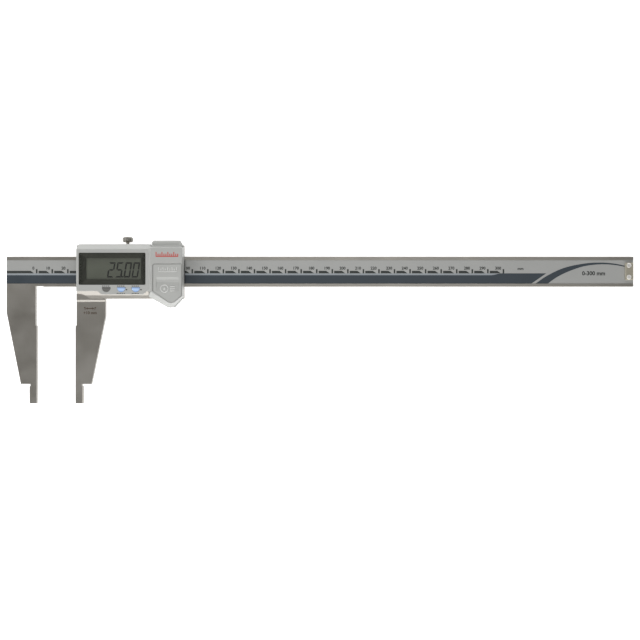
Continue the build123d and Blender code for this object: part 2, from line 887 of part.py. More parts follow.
with BuildPart() as board_capacitors:
    with BuildSketch(Plane.XY.offset(board_high)):
        with Locations((37, board_centre[1])):
            with GridLocations(4, 3, 2, 3):
                Rectangle(*capacitor_size)
    extrude(amount=0.6)
board_capacitors.part.label = "board_capacitors"
export_step(board_capacitors.part, "parts/board_capacitors.step")

with BuildPart() as read_head:
    with BuildSketch(Plane.XY.offset(head_low)):
        with Locations((plate_centre[0], scale_middle)):
            Rectangle(*head_size)
    extrude(amount=head_high - head_low)
read_head.part.label = "read_head"
export_step(read_head.part, "parts/read_head.step")

with BuildPart() as head_pins:
    with BuildSketch(Plane.XY.offset(head_high)):
        with Locations((53.0, 54.5)):
            with GridLocations(pin_pitch, 1, pin_count, 1):
                Rectangle(0.6, 0.6)
    extrude(amount=board_low - head_high)
head_pins.part.label = "head_pins"
export_step(head_pins.part, "parts/head_pins.step")

with BuildPart() as dome_switches:
    with BuildSketch(Plane.XY.offset(board_high)):
        with Locations(*[(x, key_middle) for x in button_xs]):
            Circle(1.6)
    extrude(amount=0.35)
    chamfer(dome_switches.faces().group_by(Axis.Z)[-1].edges(), 0.2)
dome_switches.part.label = "dome_switches"
export_step(dome_switches.part, "parts/dome_switches.step")

with BuildPart() as key_seal:
    with BuildSketch(Plane.XY.offset(flange_high + 0.1)):
        with Locations((bump_middle, (key_cavity_low + key_cavity_high) / 2)):
            Rectangle(key_span, key_cavity_high - key_cavity_low - 0.2)
        with Locations(*[(x, 0) for x in button_xs]):
            add(button_outline(button_gap), mode=Mode.SUBTRACT)
    extrude(amount=key_cavity_top - flange_high - 0.1)
key_seal.part.label = "key_seal"
export_step(key_seal.part, "parts/key_seal.step")


# ---- buttons ------------------------------------------------------------------------------
def push_button(centre_x):
    """A push button: a cap through the housing's front, held by a flange behind it."""
    with BuildPart() as button:
        with BuildSketch(Plane.XY.offset(flange_low)):
            with Locations((centre_x, 0)):
                add(button_outline(0))
        extrude(amount=button_top - flange_low)
        fillet(button.faces().sort_by(Axis.Z)[-1].edges(), 0.5)
        with BuildSketch(Plane.XY.offset(flange_low)):
            with Locations((centre_x, key_middle)):
                Rectangle(button_width + 0.9, 3.5)
        extrude(amount=flange_high - flange_low)
    return button


for button_name, button_x in zip(button_names, button_xs):
    push = push_button(button_x)
    push.part.label = button_name
    export_step(push.part, f"parts/{button_name}.step")

# ---- battery compartment ------------------------------------------------------------------
with BuildPart() as battery:
    with BuildSketch(Plane.XY.offset(battery_low)):
        with Locations((battery_x, battery_y)):
            Circle(battery_radius)
    extrude(amount=battery_height)
    fillet(battery.faces().sort_by(Axis.Z)[-1].edges(), 0.5)
    chamfer(battery.faces().sort_by(Axis.Z)[0].edges(), 0.6)
battery.part.label = "battery"
export_step(battery.part, "parts/battery.step")

with BuildPart() as battery_seal:
    with BuildSketch(Plane.XY.offset(cover_floor - 0.55)):
        with Locations((battery_x, battery_y)):
            Circle(cup_radius + 0.85)
            Circle(cup_radius + 0.35, mode=Mode.SUBTRACT)
    extrude(amount=0.5)
battery_seal.part.label = "battery_seal"
export_step(battery_seal.part, "parts/battery_seal.step")

with BuildPart() as negative_contact:
    with BuildSketch(Plane.XY.offset(cup_floor + 0.05)):
        with Locations((76.5, battery_y)):
            Rectangle(10.5, contact_width, align=(Align.MIN, Align.CENTER))
    extrude(amount=contact_thick)
    with BuildSketch(Plane.XY.offset(cup_floor + 0.2)):
        with Locations((battery_x, battery_y)):
            Circle(0.8)
    extrude(amount=battery_low - cup_floor - 0.2)
    with BuildSketch(Plane.XY.offset(cup_floor + 0.05)):
        with Locations((76.35, battery_y)):
            Rectangle(0.3, contact_width)
    extrude(amount=board_low - cup_floor - 0.05)
negative_contact.part.label = "negative_contact"
export_step(negative_contact.part, "parts/negative_contact.step")

with BuildPart() as positive_contact:
    with BuildSketch(Plane.XY.offset(7.0)):
        with Locations((battery_x, battery_y)):
            Circle(cup_radius - 0.04)
            Circle(battery_radius + 0.06, mode=Mode.SUBTRACT)
            Rectangle(6, 20, align=(Align.MIN, Align.CENTER), mode=Mode.INTERSECT)
        with Locations((battery_x + 7.2, battery_y)):
            Rectangle(5, 20, mode=Mode.INTERSECT)
    extrude(amount=3.4)
positive_contact.part.label = "positive_contact"
export_step(positive_contact.part, "parts/positive_contact.step")

with BuildPart() as battery_cover:
    with BuildSketch(Plane.XY.offset(cover_floor + 0.05)):
        add(cover_outline(0))
    extrude(amount=panel_front - cover_floor - 0.05)
    chamfer(battery_cover.faces().sort_by(Axis.Z)[-1].edges(), 0.15)
    # thumb scoop across the cover: a ledge that fades out downwards
    with BuildSketch(Plane.YZ.offset(scoop_left)):
        with BuildLine():
            Polyline(
                (scoop_top, panel_front + 0.2),
                (scoop_top, panel_front + 0.01),
                (scoop_top - 1.8, panel_front - 0.75 * scoop_depth),
                (scoop_top - 3.4, panel_front - scoop_depth),
                (scoop_top - scoop_length, panel_front + 0.01),
                (scoop_top - scoop_length, panel_front + 0.2),
                close=True,
            )
        make_face()
    extrude(amount=scoop_right - scoop_left, mode=Mode.SUBTRACT)
battery_cover.part.label = "battery_cover"
export_step(battery_cover.part, "parts/battery_cover.step")

# ---- data port ----------------------------------------------------------------------------
with BuildPart() as data_connector:
    with BuildSketch(Plane.XY.offset(port_low + 0.2)):
        with Locations(((port_left + port_right) / 2, 70.8)):
            Rectangle(port_right - port_left - 0.6, 4.6)
    extrude(amount=port_high - port_low - 0.4)
data_connector.part.label = "data_connector"
export_step(data_connector.part, "parts/data_connector.step")

with BuildPart() as data_port_cap:
    with BuildSketch(Plane.XY.offset(cap_back)):
        with BuildLine():
            Polyline(
                (cap_left, ridge_y + 0.1),
                (cap_left, cap_high - 1.2),
                (cap_left + 1.2, cap_high),
                (cap_right - 1.9, cap_high),
                (cap_right, ridge_y + 0.1),
                close=True,
            )
        make_face()
    extrude(amount=cap_front - cap_back)
    cap_edges = edges_near(
        data_port_cap,
        [
            (84, cap_high, cap_front),
            (cap_left, 77, cap_front),
            (cap_left + 0.6, cap_high - 0.6, cap_front),
            (cap_right - 0.95, 77.4, cap_front),
        ],
    )
    chamfer(cap_edges, 0.6)
    # finger groove across the front of the cap
    with BuildSketch(Plane.XY.offset(cap_front - groove_depth)):
        with Locations((84.0, 77.1)):
            Rectangle(16.0, 1.4)
    extrude(amount=2, mode=Mode.SUBTRACT)
    with BuildSketch(Plane.XZ.offset(-ridge_y - 0.2)):
        with Locations(((port_left + port_right) / 2, (port_low + port_high) / 2)):
            Rectangle(port_right - port_left - 0.4, port_high - port_low - 0.4)
    extrude(amount=2.2)
data_port_cap.part.label = "data_port_cap"
export_step(data_port_cap.part, "parts/data_port_cap.step")
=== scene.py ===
"""Looks of the digital caliper: finishes, printing, display digits, studio and camera."""

import json
import math

import bmesh
import bpy
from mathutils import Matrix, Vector


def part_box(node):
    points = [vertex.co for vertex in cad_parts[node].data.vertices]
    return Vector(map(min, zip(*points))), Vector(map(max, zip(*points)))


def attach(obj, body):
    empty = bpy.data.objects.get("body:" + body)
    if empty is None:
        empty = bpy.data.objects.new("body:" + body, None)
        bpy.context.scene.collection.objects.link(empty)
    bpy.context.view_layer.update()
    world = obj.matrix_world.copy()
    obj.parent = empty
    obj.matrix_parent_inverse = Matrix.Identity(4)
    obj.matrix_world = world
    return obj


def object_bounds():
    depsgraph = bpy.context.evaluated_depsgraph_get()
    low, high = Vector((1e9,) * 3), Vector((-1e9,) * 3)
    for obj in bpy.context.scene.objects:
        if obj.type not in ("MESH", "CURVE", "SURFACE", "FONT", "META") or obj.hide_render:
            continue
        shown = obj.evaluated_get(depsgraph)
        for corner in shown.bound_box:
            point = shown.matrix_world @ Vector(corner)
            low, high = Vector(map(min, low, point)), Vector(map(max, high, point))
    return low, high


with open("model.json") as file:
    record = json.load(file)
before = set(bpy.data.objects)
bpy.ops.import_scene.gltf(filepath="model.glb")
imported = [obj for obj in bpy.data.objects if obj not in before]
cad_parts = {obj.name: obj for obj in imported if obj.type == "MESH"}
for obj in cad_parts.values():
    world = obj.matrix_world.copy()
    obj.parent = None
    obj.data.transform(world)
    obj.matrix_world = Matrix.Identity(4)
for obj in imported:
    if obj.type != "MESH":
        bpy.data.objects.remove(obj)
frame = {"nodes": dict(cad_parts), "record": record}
cad_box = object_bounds()
MM = 0.001

# noise values between these two make up most of a noise texture's range
NOISE_LOW, NOISE_HIGH = 0.3, 0.7


# ---- node finishes ------------------------------------------------------------------------
def grey(level):
    return (level, level, level, 1.0)


def shade(colour, factor):
    return tuple(min(1.0, part * factor) for part in colour[:3]) + (1.0,)


class Finish:
    """A Principled material with helpers; lengths in its textures are millimetres."""

    def __init__(self, name, metallic=0.0, roughness=0.5, **inputs):
        self.material = bpy.data.materials.new(name)
        self.material.use_nodes = True
        self.tree = self.material.node_tree
        self.tree.nodes.clear()
        self.out = self.node("ShaderNodeOutputMaterial")
        self.shader = self.node("ShaderNodeBsdfPrincipled")
        self.link(self.shader.outputs[0], self.out.inputs["Surface"])
        self.shader.inputs["Metallic"].default_value = metallic
        self.shader.inputs["Roughness"].default_value = roughness
        for key, value in inputs.items():
            self.shader.inputs[key.replace("_", " ")].default_value = value
        self.place = self.node("ShaderNodeTexCoord").outputs["Object"]

    def node(self, kind):
        return self.tree.nodes.new(kind)

    def link(self, source, target):
        self.tree.links.new(source, target)

    def noise(self, size, stretch=(1, 1, 1), detail=3.0, rough=0.55):
        """Noise whose features are about this many millimetres, longer along an axis by stretch."""
        mapping = self.node("ShaderNodeMapping")
        for axis in range(3):
            mapping.inputs["Scale"].default_value[axis] = 1.0 / (MM * size * stretch[axis])
        self.link(self.place, mapping.inputs["Vector"])
        texture = self.node("ShaderNodeTexNoise")
        texture.inputs["Scale"].default_value = 1.0
        texture.inputs["Detail"].default_value = detail
        texture.inputs["Roughness"].default_value = rough
        self.link(mapping.outputs[0], texture.inputs["Vector"])
        return texture.outputs["Fac"]

    def ramp(self, fac, stops):
        """A colour ramp with these (position, colour) stops."""
        ramp = self.node("ShaderNodeValToRGB")
        ramp.color_ramp.elements[0].position = stops[0][0]
        ramp.color_ramp.elements[0].color = stops[0][1]
        ramp.color_ramp.elements[1].position = stops[-1][0]
        ramp.color_ramp.elements[1].color = stops[-1][1]
        for position, colour in stops[1:-1]:
            ramp.color_ramp.elements.new(position).color = colour
        self.link(fac, ramp.inputs["Fac"])
        return ramp.outputs["Color"]

    def mix(self, fac, first, second, mode="MIX"):
        """Two colour sockets mixed by a socket or a number."""
        mix = self.node("ShaderNodeMix")
        mix.data_type = "RGBA"
        mix.blend_type = mode
        if isinstance(fac, (int, float)):
            mix.inputs["Factor"].default_value = fac
        else:
            self.link(fac, mix.inputs["Factor"])
        self.link(first, mix.inputs["A"])
        self.link(second, mix.inputs["B"])
        return mix.outputs["Result"]

    def times(self, first, second):
        """Two colour sockets multiplied."""
        return self.mix(1.0, first, second, "MULTIPLY")

    def along(self, axis, low, high):
        """0 to 1 as an object coordinate goes from low to high, in millimetres."""
        split = self.node("ShaderNodeSeparateXYZ")
        self.link(self.place, split.inputs[0])
        return self.span(split.outputs["XYZ".index(axis)], (low * MM, high * MM), (0.0, 1.0))

    def span(self, value, source, target):
        """A value's range mapped to another, clamped at its ends."""
        span = self.node("ShaderNodeMapRange")
        span.inputs["From Min"].default_value = source[0]
        span.inputs["From Max"].default_value = source[1]
        span.inputs["To Min"].default_value = target[0]
        span.inputs["To Max"].default_value = target[1]
        self.link(value, span.inputs["Value"])
        return span.outputs["Result"]

    def colour(self, socket):
        self.link(socket, self.shader.inputs["Base Color"])

    def roughness(self, noise, low, high):
        gloss = self.span(noise, (NOISE_LOW, NOISE_HIGH), (low, high))
        self.link(gloss, self.shader.inputs["Roughness"])

    def bump(self, height, depth):
        """Bumps of this depth in millimetres."""
        bump = self.node("ShaderNodeBump")
        bump.inputs["Distance"].default_value = depth * MM
        self.link(height, bump.inputs["Height"])
        self.link(bump.outputs[0], self.shader.inputs["Normal"])

    def tones(self, noise, low, high):
        """Two colours joined by a noise."""
        return self.ramp(noise, [(NOISE_LOW, low), (NOISE_HIGH, high)])


def mottled(name, colour, size, spread, metallic=0.0, rough=(0.4, 0.6), depth=0.004, **inputs):
    """A moulded or printed finish: fine grain, slow variation of tone and uneven gloss."""
    finish = Finish(name, metallic=metallic, **inputs)
    fine = finish.noise(size)
    slow = finish.noise(size * 40, detail=4.0)
    grain = finish.tones(fine, shade(colour, 1 - spread), shade(colour, 1 + spread))
    finish.colour(finish.times(grain, finish.tones(slow, grey(1 - spread), grey(1.0))))
    finish.roughness(slow, *rough)
    finish.bump(fine, depth)
    return finish.material


SCRATCH, SCRATCH_LENGTH = 0.07, 260
STAIN = (0.93, 0.93 * 0.99, 0.93 * 0.965, 1.0)


def ground(name, colour, rough, lengthwise_above=None, spread=0.05, depth=0.002):
    """Ground steel: fine scratches one way, and stains of handling.

    With lengthwise_above, the scratches turn along X above that Y, and the steel is darker below.
    """
    finish = Finish(name, metallic=1.0)
    lines = finish.noise(SCRATCH, (SCRATCH_LENGTH, 1, 6), detail=4.0)
    if lengthwise_above is not None:
        upright = finish.noise(SCRATCH, (1, SCRATCH_LENGTH, 6), detail=4.0)
        turn = finish.along("Y", lengthwise_above - 0.2, lengthwise_above + 0.2)
        lines = finish.mix(turn, upright, lines)
    stains = finish.noise(14.0, (1.6, 1, 1), detail=5.0)
    scratched = finish.tones(lines, shade(colour, 1 - spread), shade(colour, 1 + spread))
    colours = finish.times(scratched, finish.tones(stains, STAIN, grey(1.0)))
    if lengthwise_above is not None:
        fade = finish.along("Y", lengthwise_above - 9.0, lengthwise_above + 9.0)
        darker = finish.ramp(fade, [(0.0, grey(0.87)), (1.0, grey(1.0))])
        colours = finish.times(colours, darker)
    finish.colour(colours)
    finish.roughness(stains, rough - 0.05, rough + 0.05)
    finish.bump(lines, depth)
    return finish.material


def turned(name, colour, rough):
    """Bright screws and springs: light scratches every way."""
    finish = Finish(name, metallic=1.0)
    scratches = finish.noise(0.12, (5, 1, 1), detail=4.0)
    finish.colour(finish.tones(scratches, shade(colour, 0.9), shade(colour, 1.05)))
    finish.roughness(finish.noise(1.5), rough - 0.06, rough + 0.06)
    finish.bump(scratches, 0.003)
    return finish.material


def clear_pane(name):
    """The hard clear window: see-through, with a gloss that grows towards grazing angles."""
    finish = Finish(name)
    finish.tree.nodes.remove(finish.shader)
    see = finish.node("ShaderNodeBsdfTransparent")
    gloss = finish.node("ShaderNodeBsdfGlossy")
    edge = finish.node("ShaderNodeLayerWeight")
    blend = finish.node("ShaderNodeMixShader")
    smear = finish.noise(6.0, (2, 1, 1), detail=5.0)
    tint = finish.tones(smear, (0.90, 0.91, 0.90, 1), (0.94, 0.95, 0.94, 1))
    finish.link(tint, see.inputs["Color"])
    finish.link(finish.span(smear, (0.0, 1.0), (0.02, 0.09)), gloss.inputs["Roughness"])
    edge.inputs["Blend"].default_value = 0.25
    share = finish.span(edge.outputs["Facing"], (0.0, 1.0), (0.04, 0.7))
    finish.link(share, blend.inputs[0])
    finish.link(see.outputs[0], blend.inputs[1])
    finish.link(gloss.outputs[0], blend.inputs[2])
    finish.link(blend.outputs[0], finish.out.inputs["Surface"])
    return finish.material


def silver_paint(name, colour, metallic, rough):
    """Silver-painted moulding: metal flake, fine orange peel and slight handling marks."""
    finish = Finish(name, metallic=metallic, Coat_Weight=0.25, Coat_Roughness=0.25)
    flake = finish.noise(0.10, detail=2.0)
    peel = finish.noise(0.55, detail=2.0)
    slow = finish.noise(18.0, detail=4.0)
    specks = finish.ramp(flake, [(0.25, shade(colour, 0.9)), (0.75, shade(colour, 1.1))])
    finish.colour(finish.times(specks, finish.tones(slow, grey(0.955), grey(1.0))))
    finish.roughness(flake, rough - 0.07, rough + 0.07)
    finish.bump(peel, 0.006)
    return finish.material


def display_glass(name):
    """The liquid crystal cell: grey-green film, with painted shade making it slightly darker
    towards its two long edges.
    """
    finish = Finish(name, Coat_Weight=0.3)
    film = finish.noise(0.25, detail=2.0)
    tint = finish.tones(film, (0.175, 0.180, 0.148, 1), (0.195, 0.202, 0.167, 1))
    # painted shade of the window's rim: the film is darker towards its lower and upper edges
    ends = finish.ramp(
        finish.along("Y", DISPLAY_LOW, DISPLAY_HIGH),
        [(0.0, grey(0.86)), (0.35, grey(1.0)), (1.0, grey(0.94))],
    )
    finish.colour(finish.times(tint, ends))
    finish.roughness(film, 0.38, 0.5)
    finish.bump(film, 0.002)
    return finish.material


def key_plastic(name, edge, centre):
    """A glossy push button whose colour carries a painted highlight, lighter across its middle, and
    painted shade, darker towards its edges.
    """
    finish = Finish(name, Coat_Weight=0.5, Coat_Roughness=0.1)
    grain = finish.noise(0.3, detail=2.0)
    # painted highlight and shade: along Y the colour goes from the edge colour to a lighter middle,
    # then back to a darker top edge
    across = finish.ramp(
        finish.along("Y", KEY_LOW, KEY_HIGH),
        [
            (0.0, shade(edge, 1.0)),
            (0.42, shade(centre, 1.0)),
            (0.62, shade(centre, 0.92)),
            (1.0, shade(edge, 0.9)),
        ],
    )
    finish.colour(finish.times(across, finish.tones(grain, grey(0.95), grey(1.0))))
    finish.roughness(grain, 0.18, 0.28)
    finish.bump(grain, 0.002)
    return finish.material


KEY_LOW, KEY_HIGH = (corner.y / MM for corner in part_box("zero_button"))
DISPLAY_LOW, DISPLAY_HIGH = 52.0, 71.0
STEEL_TURNS_AT = 41.0
finishes = {
    "ground_steel": ground("ground_steel", (0.43, 0.412, 0.38), 0.36, STEEL_TURNS_AT),
    "bright_steel": turned("bright_steel", (0.66, 0.65, 0.62), 0.26),
    "rear_foil": ground("rear_foil", (0.68, 0.68, 0.67), 0.34),
    "scale_laminate": mottled("scale_laminate", (0.30, 0.32, 0.28), 0.3, 0.08),
    "scale_print": silver_paint("scale_silver", (0.435, 0.44, 0.428), 0.35, 0.42),
    "housing_plastic": silver_paint("housing_silver", (0.50, 0.507, 0.489), 0.25, 0.42),
    "clear_window": clear_pane("clear_window"),
    "black_mask": mottled("black_mask", (0.070, 0.072, 0.058), 0.3, 0.08, rough=(0.3, 0.45)),
    "lcd": display_glass("display_film"),
    "black_rubber": mottled("black_rubber", (0.02, 0.02, 0.02), 0.25, 0.2, rough=(0.7, 0.85)),
    "board": mottled("solder_mask", (0.02, 0.13, 0.05), 0.5, 0.12, rough=(0.3, 0.45)),
    "chip": mottled("chip_resin", (0.02, 0.02, 0.02), 0.15, 0.15, rough=(0.55, 0.7)),
    "brass_parts": turned("brass", (0.80, 0.58, 0.26), 0.3),
    "battery_case": turned("battery_steel", (0.74, 0.74, 0.73), 0.2),
    # the second colour of each key is its painted highlight, the first its painted shade at the
    # edges
    "grey_key": key_plastic("grey_key", (0.10, 0.10, 0.095), (0.16, 0.16, 0.15)),
    "blue_key": key_plastic("blue_key", (0.16, 0.33, 0.74), (0.50, 0.68, 0.98)),
}
own_finishes = {
    "clamp_screw": turned("dark_steel", (0.30, 0.29, 0.265), 0.34),
    "end_stop": ground("plate_steel", (0.53, 0.50, 0.415), 0.5),
    "end_stop_screws": turned("screw_steel", (0.95, 0.94, 0.91), 0.5),
}
for entry in frame["record"]["subparts"]:
    node = frame["nodes"][entry["node"]]
    finish = own_finishes.get(entry["node"], finishes[entry["material_slot"]])
    if not node.data.materials:
        node.data.materials.append(finish)
    for spot in node.material_slots:
        spot.material = finish


def ink(name, colour, size, spread, rough):
    """A thin printed layer."""
    return mottled(name, colour, size, spread, rough=rough, depth=0.001)


navy_ink = ink("navy_ink", (0.038, 0.050, 0.062), 0.3, 0.08, (0.35, 0.5))
dark_ink = ink("dark_ink", (0.030, 0.034, 0.031), 0.2, 0.1, (0.45, 0.6))
pale_ink = ink("pale_ink", (0.29, 0.32, 0.345), 0.3, 0.04, (0.4, 0.55))
red_ink = ink("red_ink", (0.55, 0.07, 0.055), 0.2, 0.08, (0.4, 0.5))
brown_etch = ink("brown_etch", (0.085, 0.058, 0.042), 0.15, 0.15, (0.6, 0.8))
segment_ink = mottled("segment_ink", (0.018, 0.018, 0.016), 0.3, 0.1, rough=(0.35, 0.5))


# ---- mesh helpers -------------------------------------------------------------------------
def flat(y):
    """No rise: the face is level at every Y."""
    return 0.0


def shrink(outline, amount):
    """The outline moved inwards by this amount, counter-clockwise points."""
    moved = []
    count = len(outline)
    for i in range(count):
        here = Vector(outline[i])
        before = (here - Vector(outline[i - 1])).normalized()
        after = (Vector(outline[(i + 1) % count]) - here).normalized()
        inward = Vector((-before.y - after.y, before.x + after.x))
        reach = max(inward.length_squared / 2, 0.3)
        moved.append(tuple(here + inward * (amount / reach)))
    return moved


def add_shape(mesh, outline, low, high, rise=flat, slope=0.0):
    """A closed slab with this outline, in millimetres, into a bmesh; rise lifts it with Y."""
    area = sum(
        a[0] * b[1] - b[0] * a[1] for a, b in zip(outline, outline[1:] + outline[:1])
    )
    points = outline if area > 0 else outline[::-1]
    lower = [mesh.verts.new((x * MM, y * MM, (low + rise(y)) * MM)) for x, y in points]
    top = shrink(points, slope) if slope else points
    upper = [mesh.verts.new((x * MM, y * MM, (high + rise(y)) * MM)) for x, y in top]
    mesh.faces.new(lower[::-1])
    mesh.faces.new(upper)
    for i in range(len(points)):
        j = (i + 1) % len(points)
        mesh.faces.new((lower[i], lower[j], upper[j], upper[i]))


def add_ring(mesh, centre, outer, inner, low, high, rise=flat, slope=0.0):
    """A closed ring with sloping sides between two radii."""
    rows = []
    for radius, level in ((outer, low), (inner, low), (inner + slope, high), (outer - slope, high)):
        outline = circle(*centre, radius)
        rows.append([mesh.verts.new((x * MM, y * MM, (level + rise(y)) * MM)) for x, y in outline])
    count = len(outline)
    for k in range(4):
        for i in range(count):
            j = (i + 1) % count
            mesh.faces.new((rows[k][i], rows[k - 1][i], rows[k - 1][j], rows[k][j]))


def finish_piece(name, mesh, body, material):
    """Turn the bmesh into a piece that rides on a body."""
    data = bpy.data.meshes.new(name)
    bmesh.ops.recalc_face_normals(mesh, faces=mesh.faces)
    mesh.to_mesh(data)
    mesh.free()
    piece = bpy.data.objects.new(name, data)
    bpy.context.scene.collection.objects.link(piece)
    data.materials.append(material)
    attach(piece, body)
    return piece


def slabs(name, outlines, low, high, body, slot, material):
    """Thin flat shapes that stand on a face."""
    mesh = bmesh.new()
    for outline in outlines:
        add_shape(mesh, outline, low, high)
    return finish_piece(name, mesh, body, material)


def box(left, right, bottom, top):
    """The outline of a rectangle."""
    return [(left, bottom), (right, bottom), (right, top), (left, top)]


def circle(x, y, radius, count=40):
    """The outline of a circle."""
    turn = 2 * math.pi / count
    return [
        (x + radius * math.cos(turn * i), y + radius * math.sin(turn * i)) for i in range(count)
    ]


def smooth_line(points, steps=8):
    """A Catmull-Rom curve through the points."""
    ends = [points[0]] + list(points) + [points[-1]]
    line = []
    for a, b, c, d in zip(ends, ends[1:], ends[2:], ends[3:]):
        for k in range(steps):
            t = k / steps
            point = []
            for p, q, r, v in zip(a, b, c, d):
                cubic = (3 * q - p - 3 * r + v) * t**3
                square = (2 * p - 5 * q + 4 * r - v) * t * t
                point.append(0.5 * (2 * q + (r - p) * t + square + cubic))
            line.append(tuple(point))
    return line + [points[-1]]


BOLDNESS = 0.034


def lettering(name, entries, low, thick, body, material):
    """Numerals and unit marks: entries of (text, x, baseline, size, alignment) in millimetres."""
    mesh = bmesh.new()
    for text, x, y, size, align in entries:
        curve = bpy.data.curves.new(name + "_text", "FONT")
        curve.body = text
        curve.size = size * MM
        curve.align_x = align
        curve.extrude = thick / 2 * MM
        curve.resolution_u = 3
        curve.offset = BOLDNESS * size * MM
        letters = bpy.data.objects.new(name + "_text", curve)
        bpy.context.scene.collection.objects.link(letters)
        bpy.context.view_layer.update()
        solid = bpy.data.meshes.new_from_object(letters)
        first = len(mesh.verts)
        mesh.from_mesh(solid)
        mesh.verts.ensure_lookup_table()
        for vertex in mesh.verts[first:]:
            vertex.co += Vector((x * MM, y * MM, (low + thick / 2) * MM))
        bpy.data.objects.remove(letters)
        bpy.data.curves.remove(curve)
        bpy.data.meshes.remove(solid)
    bmesh.ops.remove_doubles(mesh, verts=mesh.verts, dist=1e-7)
    return finish_piece(name, mesh, body, material)


# ---- printing on the scale ----------------------------------------------------------------
scale_low, scale_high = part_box("scale_cover")
SUNK = 0.01
INK_THICK = 0.04
PRINT_LOW = scale_high.z / MM - SUNK
PRINT_HIGH = PRINT_LOW + INK_THICK
SCALE_LEFT = scale_low.x / MM
SCALE_BOTTOM = scale_low.y / MM
RANGE = 300
STEP = 10
NAVY_TOP = 57.4
LINE_TOP = 58.5
MARK_BOTTOM = 58.6
TICK_HALF, TICK_TOP = 0.5, 61.3
DASH_START, DASH_TIP, DASH_SHOULDER, DASH_TOP = 1.2, 8.3, 6.1, 60.2
NUMERAL_GAP, NUMERAL_BASE, NUMERAL_SIZE = 1.5, 61.05, 2.6
places = range(0, RANGE + 1, STEP)

ticks = [box(x - TICK_HALF, x + TICK_HALF, MARK_BOTTOM, TICK_TOP) for x in places]
dashes = []
for x in range(-STEP, RANGE, STEP):
    left = SCALE_LEFT if x < 0 else x + DASH_START
    tip, shoulder = x + DASH_TIP, x + DASH_SHOULDER
    dashes.append([(left, MARK_BOTTOM), (tip, MARK_BOTTOM), (shoulder, DASH_TOP), (left, DASH_TOP)])
slabs("scale_marks", ticks + dashes, PRINT_LOW, PRINT_HIGH, "beam", "scale_print", dark_ink)
numerals = [(str(x), x - NUMERAL_GAP, NUMERAL_BASE, NUMERAL_SIZE, "RIGHT") for x in places]
numerals.append(("mm", 311.0, 60.8, 2.5, "CENTER"))
lettering("scale_numerals", numerals, PRINT_LOW, INK_THICK, "beam", dark_ink)

# the dark band steps up to the marks at 300, and its end slopes beside the arc
BAND_STEP = [(292.5, NAVY_TOP), (294.5, 57.7), (296.5, 58.3)]
band_end = [(318.0, SCALE_BOTTOM), (322.5, 55.1), (327.6, MARK_BOTTOM), (299.0, MARK_BOTTOM)]
navy = [(SCALE_LEFT, SCALE_BOTTOM), *band_end, *BAND_STEP[::-1], (SCALE_LEFT, NAVY_TOP)]
slabs("scale_band", [navy], PRINT_LOW, PRINT_HIGH, "beam", "scale_print", navy_ink)
line = [(SCALE_LEFT, NAVY_TOP), *BAND_STEP, (297.5, LINE_TOP), (SCALE_LEFT, LINE_TOP)]
slabs("scale_line", [line], PRINT_LOW, PRINT_HIGH, "beam", "scale_print", pale_ink)
outer = smooth_line(
    [
        (320.6, 52.0),
        (328.5, 57.3),
        (339.3, 62.2),
        (352.1, 64.9),
        (362.9, 65.5),
        (371.7, 64.8),
        (377.9, 63.5),
    ]
)
inner = smooth_line(
    [
        (328.5, 52.0),
        (335.0, 56.5),
        (343.3, 60.4),
        (352.6, 63.3),
        (362.9, 64.4),
        (371.7, 63.9),
        (377.9, 62.8),
    ]
)
slabs("scale_arc", [outer + inner[::-1]], PRINT_LOW, PRINT_HIGH, "beam", "scale_print", navy_ink)
range_note = [("0-300 mm", 358.0, 57.4, 3.6, "CENTER")]
lettering("scale_range", range_note, PRINT_LOW, INK_THICK, "beam", dark_ink)

# ---- liquid crystal digits ----------------------------------------------------------------
LCD_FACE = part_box("lcd_panel")[1].z / MM - SUNK
SLANT = math.tan(math.radians(9))
SEGMENTS = {"2": "abged", "5": "afgcd", "0": "abcdef"}
SEGMENT_GAP = 0.12
DIGIT_BASE, DIGIT_WIDTH, DIGIT_HEIGHT, STROKE = 55.7, 4.15, 9.7, 0.95
DIGIT_LEFTS = (46.1, 51.35, 56.7, 61.8)
POINT_LEFT, POINT_SIZE = 55.55, 0.9


def segment_outlines(digit, left):
    """The lit bars of one slanted seven-segment digit, with mitred ends and small gaps."""
    gap, middle, half = SEGMENT_GAP, DIGIT_HEIGHT / 2, STROKE / 2
    w, h, s = DIGIT_WIDTH, DIGIT_HEIGHT, STROKE
    upper = [
        (0, h - gap),
        (s, h - s - gap),
        (s, middle + half + gap),
        (half, middle + gap),
        (0, middle + half),
    ]
    lower = [(x, h - y) for x, y in upper]
    bars = {
        "a": [(gap, h), (w - gap, h), (w - s - gap, h - s), (s + gap, h - s)],
        "d": [(gap, 0), (w - gap, 0), (w - s - gap, s), (s + gap, s)],
        "f": upper,
        "e": lower,
        "b": [(w - x, y) for x, y in upper],
        "c": [(w - x, y) for x, y in lower],
        "g": [
            (half + gap, middle),
            (s + gap, middle + half),
            (w - s - gap, middle + half),
            (w - half - gap, middle),
            (w - s - gap, middle - half),
            (s + gap, middle - half),
        ],
    }
    return [
        [(left + x + y * SLANT, DIGIT_BASE + y) for x, y in bars[key]] for key in SEGMENTS[digit]
    ]


digits = []
for digit, left in zip("2500", DIGIT_LEFTS):
    digits += segment_outlines(digit, left)
digits.append(box(POINT_LEFT, POINT_LEFT + POINT_SIZE, DIGIT_BASE, DIGIT_BASE + POINT_SIZE))
slabs("display_digits", digits, LCD_FACE, LCD_FACE + INK_THICK, "slider", "lcd", segment_ink)

# ---- marks on the housing, cover and jaw --------------------------------------------------
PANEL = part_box("battery_cover")[1].z / MM
FRONT = 11.5
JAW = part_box("main_beam")[1].z / MM
RELIEF = 0.3
PRINT_RISE = 0.02



def ruler_outlines(left, right, bar, pitch, count, width, foot, short, tall, every):
    """A bar from left to right and a row of ticks over it, every few of them taller."""
    outlines = [box(left, right, *bar)]
    for index in range(count):
        start = left + pitch * index
        top = tall if index % every == 0 else short
        outlines.append(box(start, start + width, foot, top))
    return outlines


